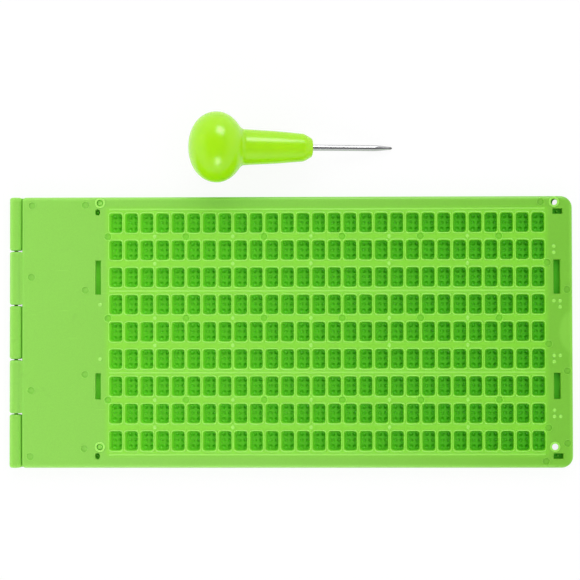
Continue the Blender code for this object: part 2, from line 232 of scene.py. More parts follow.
def stretch(x=1.0, y=1.0, z=1.0, centre=(0.0, 0.0, 0.0)):
    """Resizes what is selected about a point."""
    bpy.ops.transform.resize(value=(x, y, z), center_override=centre)


def grow_edges():
    """Extrudes the selected edges in place, leaving the new ones selected."""
    bpy.ops.mesh.extrude_edges_move(TRANSFORM_OT_translate={"value": (0.0, 0.0, 0.0)})


def modify(item, kind, **settings):
    """Adds a modifier and applies it."""
    modifier = item.modifiers.new(kind.lower(), kind)
    for name, value in settings.items():
        setattr(modifier, name, value)
    take(item)
    bpy.ops.object.modifier_apply(modifier=modifier.name)
    return item


def repeat(item, count, x=0.0, y=0.0):
    """Repeats a tile in a row, each joined to the last."""
    return modify(item, "ARRAY", count=count, use_relative_offset=False, use_constant_offset=True,
                  constant_offset_displace=(x, y, 0.0), use_merge_vertices=True,
                  use_merge_vertices_cap=False, merge_threshold=0.02 * MM)


def unite(item, tools, operation="UNION"):
    """Joins closed shapes to a piece, or cuts them out of it."""
    for tool in tools:
        take(tool)
        bpy.ops.object.mode_set(mode="EDIT")
        bpy.ops.mesh.select_all(action="SELECT")
        bpy.ops.mesh.normals_make_consistent(inside=False)
        bpy.ops.object.mode_set(mode="OBJECT")
        modify(item, "BOOLEAN", operation=operation, solver="MANIFOLD", object=tool)
        bpy.data.objects.remove(tool, do_unlink=True)
    return item


def joined(items):
    """Puts loose shapes that don't touch into one object."""
    deselect()
    for item in items:
        item.select_set(True)
    bpy.context.view_layer.objects.active = items[0]
    bpy.ops.object.join()
    return bpy.context.object


def copies(item, places):
    """A loose shape copied to many places, each with its own mesh, all in one object."""
    made = []
    for x, y in places:
        copy = bpy.data.objects.new(item.name, item.data.copy())
        bpy.context.scene.collection.objects.link(copy)
        copy.data.transform(Matrix.Translation((x, y, 0.0)))
        made.append(copy)
    bpy.data.objects.remove(item, do_unlink=True)
    return joined(made)


def settle(item, angle=58):
    """Leaves a finished piece at the origin with its place in its mesh, shaded by its edges."""
    take(item)
    bpy.ops.object.transform_apply(location=True, rotation=True, scale=True)
    bpy.ops.object.shade_smooth_by_angle(angle=math.radians(angle))
    modify(item, "WEIGHTED_NORMAL", keep_sharp=True, weight=80)
    return item


def bar(name, low, high):
    """A box between two corners."""
    middle = [(a + b) / 2 for a, b in zip(low, high)]
    bpy.ops.mesh.primitive_cube_add(size=1, location=middle, scale=[b - a for a, b in zip(low, high)])
    take(bpy.context.object)
    bpy.ops.object.transform_apply(location=True, rotation=True, scale=True)
    return named(name)


def cone(name, radii, bottom, top, sides, x=0.0, y=0.0):
    """An upright round taper, its radii given from below to above."""
    bpy.ops.mesh.primitive_cone_add(vertices=sides, radius1=radii[0], radius2=radii[1], depth=top - bottom,
                                    location=(x, y, (top + bottom) / 2))
    take(bpy.context.object)
    bpy.ops.object.transform_apply(location=True, rotation=True, scale=True)
    return named(name)


def rod(name, radius, start, end, sides):
    """A round bar between two points."""
    start, end = Vector(start), Vector(end)
    along = (end - start).to_track_quat("Z", "Y").to_euler()
    bpy.ops.mesh.primitive_cylinder_add(vertices=sides, radius=radius, depth=(end - start).length,
                                        location=(start + end) / 2, rotation=along)
    take(bpy.context.object)
    bpy.ops.object.transform_apply(location=True, rotation=True, scale=True)
    return named(name)


def round_edges(item, test, offset, segments):
    """Rounds the edges of a piece that pass a test."""
    edit(item)
    if pick("EDGE", test):
        bpy.ops.mesh.bevel(offset=offset, offset_type="OFFSET", segments=segments, profile=0.5,
                           affect="EDGES", clamp_overlap=True)
    close()
    return item


def flat_at(part, height):
    """Whether an edge or a face lies at one height."""
    return all(abs(corner.co.z - height) < SLACK for corner in part.verts)


def upright(edge):
    """Whether an edge rises."""
    return abs(edge.verts[0].co.z - edge.verts[1].co.z) > SLACK


def open_edge(edge):
    """Whether an edge has a face on one side only."""
    return len(edge.link_faces) == 1


def window_tile():
    """One window with its lip, drafted walls and the plate round it, open at its four sides."""
    bpy.ops.mesh.primitive_plane_add(size=1)
    tile = named("window_tile")
    edit(tile, "VERT")
    bpy.ops.mesh.select_all(action="SELECT")
    stretch(THROAT_WIDTH, THROAT_HEIGHT)
    move(THROAT_SHIFT, 0.0, COVER_LOW)
    bpy.ops.mesh.bevel(offset=WINDOW_CORNER, offset_type="OFFSET", segments=2, affect="VERTICES")
    bpy.ops.mesh.select_mode(type="FACE")
    bpy.ops.mesh.select_all(action="SELECT")
    bpy.ops.mesh.delete(type="ONLY_FACE")
    bpy.ops.mesh.select_mode(type="EDGE")
    bpy.ops.mesh.select_all(action="SELECT")
    width, height, centre, level = THROAT_WIDTH, THROAT_HEIGHT, THROAT_SHIFT, COVER_LOW
    for new_width, new_height, new_level in LIP_LOOPS:
        grow_edges()
        stretch(new_width * MM / width, new_height * MM / height, 1.0, (centre, 0.0, level))
        move(-centre, 0.0, new_level * MM - level)
        width, height, centre, level = new_width * MM, new_height * MM, 0.0, new_level * MM
    to_border(width, height, COVER_TOP)
    pick("EDGE", lambda edge: open_edge(edge) and flat_at(edge, COVER_LOW))
    grow_edges()
    move(-THROAT_SHIFT)
    to_border(THROAT_WIDTH, THROAT_HEIGHT, COVER_LOW, grown=True)
    close()
    return tile


def to_border(width, height, level, grown=False):
    """Draws the selected rounded loop out to the tile's border: corner to corner, and the rest in thirds."""
    if not grown:
        grow_edges()
    border_x, border_y = CELL_PITCH / 2, LINE_PITCH / 2
    stretch(CELL_PITCH / width, LINE_PITCH / height, 1.0, (0.0, 0.0, level))
    groups = {"side": [], "end": [], "corner": []}
    for corner in bmesh.from_edit_mesh(bpy.context.object.data).verts:
        if corner.select:
            x, y = abs(corner.co.x), abs(corner.co.y)
            kind = "side" if x > border_x - SLACK else "end" if y > border_y - SLACK else "corner"
            groups[kind].append((x, y))
    for kind, target_x, target_y in (("side", border_x, border_y / 3), ("end", border_x / 3, border_y),
                                     ("corner", border_x, border_y)):
        x, y = groups[kind][0]
        pick("VERT", lambda corner: abs(corner.co.z - level) < SLACK
             and abs(abs(corner.co.x) - x) < SLACK and abs(abs(corner.co.y) - y) < SLACK)
        stretch(target_x / x, target_y / y, 1.0, (0.0, 0.0, level))


def pit_tile():
    """One cell of six pits with the plate round them, open at its four sides."""
    half = DOT_PITCH / 2
    radius = PIT_LOOPS[0][0] * MM
    bpy.ops.mesh.primitive_circle_add(vertices=PIT_SIDES, radius=radius, location=(0.0, 0.0, BASE_TOP))
    take(bpy.context.object)
    bpy.ops.object.transform_apply(location=True, rotation=True, scale=True)
    tile = named("pit_tile")
    edit(tile)
    bpy.ops.mesh.select_all(action="SELECT")
    centre = (0.0, 0.0, BASE_TOP)
    grow_edges()
    stretch(half / radius, half / radius, 1.0, centre)
    pick("VERT", lambda corner: min(abs(corner.co.x), abs(corner.co.y)) > half / 2
         and corner.co.xy.length > radius + SLACK)
    stretch(math.sqrt(2), math.sqrt(2), 1.0, centre)
    pick("EDGE", lambda edge: all(corner.co.xy.length < radius + SLACK for corner in edge.verts))
    last, depth = PIT_LOOPS[0]
    for reach, drop in PIT_LOOPS[1:]:
        grow_edges()
        stretch(reach / last, reach / last, 1.0, centre)
        move(0.0, 0.0, (depth - drop) * MM)
        last, depth = reach, drop
    grow_edges()
    move(0.0, 0.0, depth * MM - PIT_DEPTH)
    bpy.ops.mesh.merge(type="CENTER")
    close()
    repeat(tile, 2, x=DOT_PITCH)
    repeat(tile, 3, y=-DOT_PITCH)
    edit(tile, "VERT")
    bpy.ops.mesh.select_all(action="SELECT")
    move(-half + PIT_SHIFT, DOT_PITCH)
    pick("EDGE", open_edge)
    grow_edges()
    stretch(CELL_PITCH / (2 * DOT_PITCH), LINE_PITCH / (3 * DOT_PITCH), 1.0, (PIT_SHIFT, 0.0, BASE_TOP))
    move(-PIT_SHIFT)
    close()
    return tile


def field(tile):
    """The whole grid of tiles, in its place on the slate."""
    repeat(tile, CELLS, x=CELL_PITCH)
    repeat(tile, LINES, y=-LINE_PITCH)
    take(tile)
    tile.location = (GRID_X - (CELLS - 1) / 2 * CELL_PITCH, GRID_Y + (LINES - 1) / 2 * LINE_PITCH, 0.0)
    bpy.ops.object.transform_apply(location=True, rotation=True, scale=True)
    return tile


def add_margins(item):
    """Draws the open borders of the grid out to the straight sides of the leaf."""
    left, right = GRID_X - GRID_LENGTH / 2, GRID_X + GRID_LENGTH / 2
    low, high = GRID_Y - GRID_WIDTH / 2, GRID_Y + GRID_WIDTH / 2

    def side(axis, place):
        return lambda edge: open_edge(edge) and all(abs(c.co[axis] - place) < SLACK for c in edge.verts)

    edit(item)
    for axis, place, target in ((0, left, LEAF_EDGE_X), (0, right, SLATE_RIGHT),
                                (1, low, -HALF_WIDTH), (1, high, HALF_WIDTH)):
        pick("EDGE", side(axis, place))
        grow_edges()
        move(**{"xy"[axis]: target - place})
    close()


def round_leaf(item, top, low, top_round, low_round):
    """Rounds the upright corners of a leaf, then its two rims."""
    def corner_edge(edge, x):
        return all(abs(c.co.x - x) < SLACK and abs(abs(c.co.y) - HALF_WIDTH) < SLACK for c in edge.verts)

    round_edges(item, lambda edge: corner_edge(edge, SLATE_RIGHT), FREE_CORNER, 8)
    round_edges(item, lambda edge: corner_edge(edge, LEAF_EDGE_X), HINGE_CORNER, 4)
    for level, radius, segments in ((top, top_round, 4), (low, low_round, 2)):
        if radius:
            round_edges(item, lambda edge: flat_at(edge, level) and on_rim(edge), radius, segments)


def on_rim(edge):
    """Whether an edge lies between a flat side and the upright wall round the leaf."""
    if len(edge.link_faces) != 2:
        return False
    flat, wall = sorted(edge.link_faces, key=lambda face: -abs(face.normal.z))
    middle = (edge.verts[0].co + edge.verts[1].co) / 2
    outside = abs(middle.y) > HALF_WIDTH - FREE_CORNER or middle.x > SLATE_RIGHT - FREE_CORNER
    outside = outside or middle.x < LEAF_EDGE_X + HINGE_CORNER
    return outside and abs(flat.normal.z) > 0.9 and abs(wall.normal.z) < 0.1


def knuckle_bands():
    """The Y range of each hinge knuckle, from the top of the page down."""
    length = (2 * HALF_WIDTH - (KNUCKLES - 1) * KNUCKLE_GAP) / KNUCKLES
    tops = [HALF_WIDTH - i * (length + KNUCKLE_GAP) for i in range(KNUCKLES)]
    return [(top, top - length) for top in tops]


def add_knuckles(leaf, first, low, high):
    """Every second hinge knuckle from the first on, each with its tongue, and the bore through them."""
    for top, bottom in knuckle_bands()[first::2]:
        knuckle = rod("knuckle", KNUCKLE_RADIUS, (HINGE_X, bottom, HINGE_Z), (HINGE_X, top, HINGE_Z),
                      KNUCKLE_SIDES)
        round_edges(knuckle, lambda edge: edge.calc_face_angle(0.0) > 1.0, KNUCKLE_ROUND, 4)
        inset = KNUCKLE_ROUND / 4
        tongue = bar("tongue", (HINGE_X, bottom + inset, low),
                     (LEAF_EDGE_X + TONGUE_ROOT, top - inset, high))
        unite(knuckle, [tongue])
        unite(leaf, [knuckle])
    reach = HALF_WIDTH + OVERRUN
    bore = rod("bore", BORE_RADIUS, (HINGE_X, -reach, HINGE_Z), (HINGE_X, reach, HINGE_Z), LARGE_SIDES)
    unite(leaf, [bore], "DIFFERENCE")


def cell_centre(column, line):
    """Centre of a cell, columns from the left and lines from the top."""
    return (GRID_X + (column - (CELLS - 1) / 2) * CELL_PITCH,
            GRID_Y - (line - (LINES - 1) / 2) * LINE_PITCH)


def make_pit_plate():
    """The lower leaf with its 1,512 pits."""
    plate = field(pit_tile())
    plate.name = "pit_plate_moulding"
    add_margins(plate)
    edit(plate)
    pick("EDGE", open_edge)
    grow_edges()
    move(0.0, 0.0, -BASE_TOP)
    bpy.ops.mesh.edge_face_add()
    bpy.ops.mesh.select_all(action="SELECT")
    bpy.ops.mesh.normals_make_consistent(inside=False)
    close()
    round_leaf(plate, BASE_TOP, 0.0, PLATE_TOP_ROUND, PLATE_LOW_ROUND)
    return plate


def make_cover():
    """The upper leaf with its 252 windows."""
    cover = field(window_tile())
    cover.name = "cover_moulding"
    add_margins(cover)
    edit(cover)
    pick("EDGE", lambda edge: open_edge(edge) and flat_at(edge, COVER_TOP))
    grow_edges()
    move(0.0, 0.0, COVER_LOW - COVER_TOP)
    bpy.ops.mesh.select_all(action="SELECT")
    bpy.ops.mesh.remove_doubles(threshold=0.02 * MM)
    bpy.ops.mesh.normals_make_consistent(inside=False)
    close()
    round_leaf(cover, COVER_TOP, COVER_LOW, RIM_ROUND, UNDER_ROUND)
    return cover


def register_places(rise):
    """Heights up the page of an upper and a lower feature, about one page of lines apart."""
    return [rise + REGISTER_SPAN / 2, rise - REGISTER_SPAN / 2]


def slot_cutter(x, y, size, corner, flare):
    """A cutter for a slot whose upper edge is broken by a small chamfer."""
    width, height = size
    cutter = bar("slot_cutter", (x - width / 2, y - height / 2, COVER_LOW - OVERRUN),
                 (x + width / 2, y + height / 2, COVER_TOP - flare))
    round_edges(cutter, upright, corner, 3)
    edit(cutter)
    pick("FACE", lambda face: face.normal.z > 0.9)
    for rise in (flare, OVERRUN):
        bpy.ops.mesh.extrude_region_move(TRANSFORM_OT_translate={"value": (0.0, 0.0, rise)})
        stretch((width + 2 * rise) / width, (height + 2 * rise) / height, 1.0, (x, y, COVER_TOP))
        width, height = width + 2 * rise, height + 2 * rise
    close()
    return cutter


def slot_cutters():
    """The four paper slots, the two pin holes and the two pin slots in the margins."""
    made = []
    for x, width in ((MARGIN_LEFT_X, LEFT_SLOT_WIDTH), (MARGIN_RIGHT_X, RIGHT_SLOT_WIDTH)):
        for lines, height in ((2, UPPER_SLOT_HEIGHT), (-2, LOWER_SLOT_HEIGHT)):
            y = GRID_Y + lines * LINE_PITCH
            made.append(slot_cutter(x, y, (width, height), SLOT_CORNER, SLOT_FLARE))
    for y in register_places(PIN_RISE):
        made.append(slot_cutter(PIN_HOLE_X, y, PIN_HOLE_SIZE, PIN_HOLE_CORNER, PIN_SLOT_FLARE))
        made.append(slot_cutter(PIN_SLOT_X, y, PIN_SLOT_SIZE, SLOT_CORNER, PIN_SLOT_FLARE))
    return joined(made)


def ridges():
    """The four raised lines above, between and below the groups of three lines of cells."""
    made = []
    reach = GRID_LENGTH / 2 - RIDGE_INSET
    for line in range(0, LINES + 1, LINES_PER_GROUP):
        y = GRID_Y + (LINES / 2 - line) * LINE_PITCH
        ridge = bar("ridge", (GRID_X - reach, y - RIDGE_HALF_WIDTH, COVER_TOP - ROOT),
                    (GRID_X + reach, y + RIDGE_HALF_WIDTH, RIDGE_TOP))
        made.append(round_edges(ridge, lambda edge: flat_at(edge, RIDGE_TOP), RIDGE_ROUND, 3))
    return joined(made)


def dot_places():
    """Places of all raised dots: one beside every fifth cell between the lines of a group, two in the left
    margin, and the even line numbers as braille digits in the right one."""
    places = []
    for line in range(LINES - 1):
        if (line + 1) % LINES_PER_GROUP:
            for count in range(1, CELLS // COUNT_CELLS + 1):
                x, y = cell_centre(CELLS - COUNT_CELLS * count, line)
                places.append((x - CELL_PITCH / 2, y - LINE_PITCH / 2))
    places += [(MARGIN_LEFT_X + MARGIN_DOT_INSET, GRID_Y + side * LINE_PITCH) for side in (1, -1)]
    # Dots of each number as steps to the right and down
    numbers = {2: ((0, 0), (0, 1)), 4: ((0, 0), (1, 0), (1, 1)),
               6: ((0, 0), (0, 1), (1, 0)), 8: ((0, 0), (0, 1), (1, 1))}
    for line, dots in numbers.items():
        y = cell_centre(0, line - 1)[1]
        places += [(MARGIN_RIGHT_X + (right - 0.5) * DOT_PITCH, y + (0.5 - down) * DOT_PITCH)
                   for right, down in dots]
    return places


def dots():
    """One raised dot, pressed from a low dome, copied to every place."""
    bpy.ops.mesh.primitive_uv_sphere_add(segments=12, ring_count=8, radius=DOT_RADIUS)
    dot = named("dot")
    edit(dot)
    bpy.ops.mesh.select_all(action="SELECT")
    stretch(1.0, 1.0, DOT_FLATNESS)
    bpy.ops.mesh.bisect(plane_co=(0.0, 0.0, -DOT_FOOT), plane_no=(0.0, 0.0, 1.0), clear_inner=True,
                        use_fill=True)
    bpy.ops.mesh.select_all(action="SELECT")
    move(0.0, 0.0, DOT_LEVEL)
    close()
    return copies(dot, dot_places())


def hole_ring(x, y):
    """A low raised ring, rounded on its outer edge."""
    ring = rod("ring", RING_RADIUS, (x, y, COVER_TOP - ROOT), (x, y, RELIEF_TOP), LARGE_SIDES)
    return round_edges(ring, lambda edge: flat_at(edge, RELIEF_TOP), RING_ROUND, 3)


def margin_marks():
    """Centres of the ejector pins in the side margins."""
    return [(x * MM, y * MM) for x, y in MARGIN_MARK_PLACES]


def lattice_marks():
    """Centres of the ejector pins between the windows, beside every fifth cell of every third line."""
    centres = [cell_centre(column, line) for line in range(0, LINES, LINES_PER_GROUP)
               for column in range(0, CELLS, COUNT_CELLS)]
    return [(x - CELL_PITCH / 2, y - LINE_PITCH / 2) for x, y in centres]


def finish_cover():
    """All of the upper leaf, in one moulding."""
    cover = make_cover()
    add_knuckles(cover, 1, COVER_LOW, TONGUE_TOP)
    for places, (flash, depth) in ((margin_marks(), MARGIN_MARK), (lattice_marks(), LATTICE_MARK)):
        rim = cone("ejector_flash", FLASH_RADII, COVER_TOP - ROOT, COVER_TOP + flash, SMALL_SIDES)
        dish = cone("ejector_dish", DISH_RADII, COVER_TOP - depth, COVER_TOP + DISH_OVERRUN, SMALL_SIDES)
        unite(cover, [copies(rim, places)])
        unite(cover, [copies(dish, places)], "DIFFERENCE")
    unite(cover, [ridges(), dots()])
    left, right = [[(x, y) for y in register_places(RING_RISE)] for x in (RING_LEFT_X, RING_RIGHT_X)]
    unite(cover, [hole_ring(x, y) for x, y in left + right])
    holes = [rod("hole", HOLE_RADIUS, (x, y, COVER_LOW - OVERRUN), (x, y, RELIEF_TOP + OVERRUN),
                 SMALL_SIDES) for x, y in left + right]
    holes += [cone("hole_flare", FLARE_RADII, FLARE_START, FLARE_END, SMALL_SIDES, x, y) for x, y in right]
    unite(cover, [slot_cutters()] + holes, "DIFFERENCE")
    return settle(cover)


def paper_pin(x, y):
    """A short pointed pin that holds the paper."""
    low, high = PAPER_PIN_LEVEL - PAPER_PIN_LENGTH / 2, PAPER_PIN_LEVEL + PAPER_PIN_LENGTH / 2
    pin = cone("paper_pin", PAPER_PIN_RADII, low, high, PAPER_PIN_SIDES, x, y)
    return round_edges(pin, lambda edge: flat_at(edge, high), PAPER_PIN_ROUND, 2)


def post(y):
    """A round post that stands in a ringed hole of the upper leaf."""
    made = rod("post", POST_RADIUS, (RING_LEFT_X, y, BASE_TOP - OVERRUN), (RING_LEFT_X, y, POST_TOP),
               SMALL_SIDES)
    return round_edges(made, lambda edge: flat_at(edge, POST_TOP), POST_ROUND, 4)


def finish_pit_plate():
    """All of the lower leaf, in one moulding: its knuckles, posts, paper pins and holes added."""
    plate = make_pit_plate()
    add_knuckles(plate, 0, TONGUE_FLOOR, BASE_TOP)
    posts = [post(y) for y in register_places(RING_RISE)]
    pins = [paper_pin(x, y) for x in (PIN_HOLE_X, PIN_SLOT_X) for y in register_places(PIN_RISE)]
    unite(plate, posts + pins)
    holes = [rod("hole", radius, (x, y, -OVERRUN), (x, y, BASE_TOP + OVERRUN), SMALL_SIDES)
             for (x, radius), y in zip(PLATE_HOLES, register_places(PLATE_HOLE_RISE))]
    marks = [rod("ejector", UNDER_MARK_RADIUS, (x, y, -OVERRUN), (x, y, UNDER_MARK_DEPTH), SMALL_SIDES)
             for x in UNDER_MARK_COLUMNS for y in UNDER_MARK_ROWS]
    unite(plate, holes + marks, "DIFFERENCE")
    return settle(plate)


# Stylus, in millimetres: places on its outline are radius, and height along its axis from the ball's top
KNOB_RADIUS = 13.64
KNOB_HALF_LENGTH = 11.0
KNOB_FLATNESS = 2.12
KNOB_TAPER = 1.92
KNOB_STEPS = 30
KNOB_TOP = 0.01
KNOB_END = 19.4
NECK_BEND = (7.05, 20.3)
NECK_END = (6.95, 21.6)
GRIP_MIDDLE = (6.28, 34.0)
HANDLE_LENGTH = 48.08
NOSE_START = (5.5, 43.9)
NOSE_BENDS = (((5.42, 44.9), (4.9, 45.8), 4), ((4.3, 46.9), (3.7, 47.9), 4),
              ((3.57, HANDLE_LENGTH), (3.3, HANDLE_LENGTH), 3))
BORE = ((1.6, HANDLE_LENGTH), (1.42, HANDLE_LENGTH - 0.2), (1.4, HANDLE_LENGTH - 2),
        (0.0, HANDLE_LENGTH - 2))
NEEDLE_RADIUS = 1.19
NEEDLE_START = HANDLE_LENGTH - 1.8
NEEDLE_MIDDLE = 60.0
NEEDLE_END = 80.33
SHOULDER = (1.18, NEEDLE_END - 7.2)
TAPER_BEND = (1.12, NEEDLE_END - 5.0)
POINT_START = (0.62, NEEDLE_END - 1.2)
POINT_RADIUS = 0.5
STYLUS_PLACE = (-27.8 * MM, 71.37 * MM, 13.65 * MM)
STYLUS_TURN = math.radians(0.72)
STYLUS_TILT = math.asin((KNOB_RADIUS - POINT_RADIUS) / (NEEDLE_END - POINT_RADIUS - KNOB_HALF_LENGTH))


def curve_points(start, bend, end, steps):
    """Points along a soft bend between two points, the first left out."""
    made = []
    for i in range(1, steps + 1):
        t = i / steps
        made.append(tuple((1 - t) ** 2 * a + 2 * t * (1 - t) * b + t * t * c
                          for a, b, c in zip(start, bend, end)))
    return made


def knob_outline():
    """The ball from its top down to where the neck starts, as radius and height in millimetres."""
    made = []
    for i in range(1, KNOB_STEPS):
        height = KNOB_HALF_LENGTH * (1.0 - math.cos(math.pi * i / KNOB_STEPS))
        power = KNOB_FLATNESS if height < KNOB_HALF_LENGTH else KNOB_TAPER
        reach = abs(1.0 - height / KNOB_HALF_LENGTH) ** power
        made.append((KNOB_RADIUS * (1.0 - reach) ** (1.0 / power), height))
    return [point for point in made if point[1] < KNOB_END]


def handle_outline():
    """Ball, hollow neck, tapering grip, ogive nose and the mouth of the needle's bore."""
    points = [(0.0, KNOB_TOP)] + knob_outline()
    points += curve_points(points[-1], NECK_BEND, NECK_END, 6)
    points.append(GRIP_MIDDLE)
    start = NOSE_START
    for bend, end, steps in NOSE_BENDS:
        points += curve_points(start, bend, end, steps)
        start = end
    return points + list(BORE)


def needle_outline():
    """Straight shank, long taper and rounded writing point."""
    points = [(0.0, NEEDLE_START), (NEEDLE_RADIUS, NEEDLE_START), (NEEDLE_RADIUS, NEEDLE_MIDDLE), SHOULDER]
    points += curve_points(SHOULDER, TAPER_BEND, POINT_START, 6)
    points += curve_points(POINT_START, (POINT_RADIUS, NEEDLE_END), (0.0, NEEDLE_END), 5)
    return points


def spun(name, outline, steps):
    """A turned piece: its outline drawn point by point, then spun about the stylus axis."""
    bpy.ops.mesh.primitive_plane_add(size=MM)
    piece = named(name)
    edit(piece, "VERT")
    bpy.ops.mesh.select_all(action="SELECT")
    bpy.ops.mesh.merge(type="CENTER")
    bpy.ops.mesh.select_all(action="SELECT")
    radius, height = outline[0]
    move(radius * MM, 0.0, height * MM)
    for new_radius, new_height in outline[1:]:
        bpy.ops.mesh.extrude_vertices_move(TRANSFORM_OT_translate={
            "value": ((new_radius - radius) * MM, 0.0, (new_height - height) * MM)})
        radius, height = new_radius, new_height
    bpy.ops.mesh.select_all(action="SELECT")
    bpy.ops.mesh.spin(steps=steps, angle=math.tau, center=(0.0, 0.0, 0.0), axis=(0.0, 0.0, 1.0))
    bpy.ops.mesh.select_all(action="SELECT")
    bpy.ops.mesh.remove_doubles(threshold=0.004 * MM)
    bpy.ops.mesh.normals_make_consistent(inside=False)
    close()
    turn = Matrix.Rotation(STYLUS_TURN, 4, "Z") @ Matrix.Rotation(math.pi / 2 + STYLUS_TILT, 4, "Y")
    centre = turn @ Vector((0.0, 0.0, KNOB_HALF_LENGTH * MM))
    piece.matrix_world = Matrix.Translation(Vector(STYLUS_PLACE) - centre) @ turn
    return settle(piece, angle=40)


# Colours as sRGB hex, the leaves' in pairs: at the hinge end, painted paler as if lit more strongly there,
# and at the far end
MARGIN_GREENS = ("93dc54", "77c42c")
LATTICE_GREENS = ("93e740", "7fd824")
# Painted shade: deeper, more saturated greens for the plastic down in the windows and for the whole lower
# leaf, which lies in shade under the cover
PAINTED_SHADE_GREENS = ("7ce82b", "4fc406")
# Pale greens for real scuffs and for painted light: the painted glow along the rim, the painted half-moon
# and the painted highlight on raised relief
WORN_AND_LIT_GREENS = ("b0f76e", "9cea52")
SMUDGE_GREEN = "6fae3c"
GRIP_LIMES = ("aae900", "aeec08")
POLISHED_STEEL = "c4c4c6"
# Painted shade: the darker steel painted on the needle's point
SHADED_POINT_STEEL = "4d4a47"
# Painted shade: the hinge pin's steel painted near black, standing in for the shade in the narrow gaps
# between the knuckles where it shows
SHADED_PIN_STEEL = "55544e"

# Where the finish changes: all of a leaf, for the painted glow along its rim, the lattice of cells and the
# pitted plate in plan, the painted half-moon's size, the heights about which relief is painted paler as
# highlight and the windows are painted in shade, and the painted shade at the needle's point along X
LEAF_SIDES = (HINGE_X - KNUCKLE_RADIUS, SLATE_RIGHT, -HALF_WIDTH, HALF_WIDTH)
LATTICE_SIDES = (GRID_X - GRID_LENGTH / 2 - 2 * MM, GRID_X + GRID_LENGTH / 2 + 2 * MM,
                 GRID_Y - GRID_WIDTH / 2 - 2 * MM, GRID_Y + GRID_WIDTH / 2 + 2 * MM)
PLATE_SIDES = (LEAF_EDGE_X + 4 * MM, 2 * SLATE_RIGHT, -2 * HALF_WIDTH, 2 * HALF_WIDTH)
HALF_MOON_WIDTH = 5.8 * MM
HALF_MOON_LENGTH = 9.0 * MM
COVER_RELIEF = 5.04 * MM
PLATE_RELIEF = 3.2 * MM
SHADED_POINT_START = 38.5 * MM
SHADED_POINT_END = 40.5 * MM


def linear(value):
    """One sRGB channel, 0 to 1, as linear light."""
    return value / 12.92 if value <= 0.04045 else ((value + 0.055) / 1.055) ** 2.4


def colour(code):
    """A six-digit sRGB hex colour as linear red, green, blue and alpha."""
    return tuple(linear(int(code[i:i + 2], 16) / 255) for i in (0, 2, 4)) + (1.0,)


def add(tree, kind, settings=None, values=None, links=None):
    """Adds a node with its settings, the values of its inputs and what is linked to them."""
    made = tree.nodes.new(kind)
    for name, value in (settings or {}).items():
        setattr(made, name, value)
    for name, value in (values or {}).items():
        made.inputs[name].default_value = value
    for name, socket in (links or {}).items():
        tree.links.new(socket, made.inputs[name])
    return made


def fresh_material(name, **values):
    """A material with its Principled shader's even values set."""
    material = bpy.data.materials.new(name)
    material.use_nodes = True
    shader = material.node_tree.nodes["Principled BSDF"]
    for key, value in values.items():
        shader.inputs[key.replace("_", " ")].default_value = value
    return material, material.node_tree, shader


def soft_box(tree, axes, sides, soft):
    """One inside a box in plan and zero outside it, with a soft edge."""
    left, right, low, high = sides
    ramps = []
    for axis, start, end in (("X", left, right), ("Y", low, high)):
        half = (end - start) / 2
        off = add(tree, "ShaderNodeMath", {"operation": "SUBTRACT"}, {1: (start + end) / 2},
                  {0: axes.outputs[axis]})
        off = add(tree, "ShaderNodeMath", {"operation": "ABSOLUTE"}, None, {0: off.outputs["Value"]})
        ramps.append(add(tree, "ShaderNodeMapRange", {"interpolation_type": "SMOOTHSTEP"},
                         {"From Min": half - soft, "From Max": half, "To Min": 1.0, "To Max": 0.0},
                         {"Value": off.outputs["Value"]}).outputs["Result"])
    return add(tree, "ShaderNodeMath", {"operation": "MULTIPLY"}, None,
               {0: ramps[0], 1: ramps[1]}).outputs["Value"]


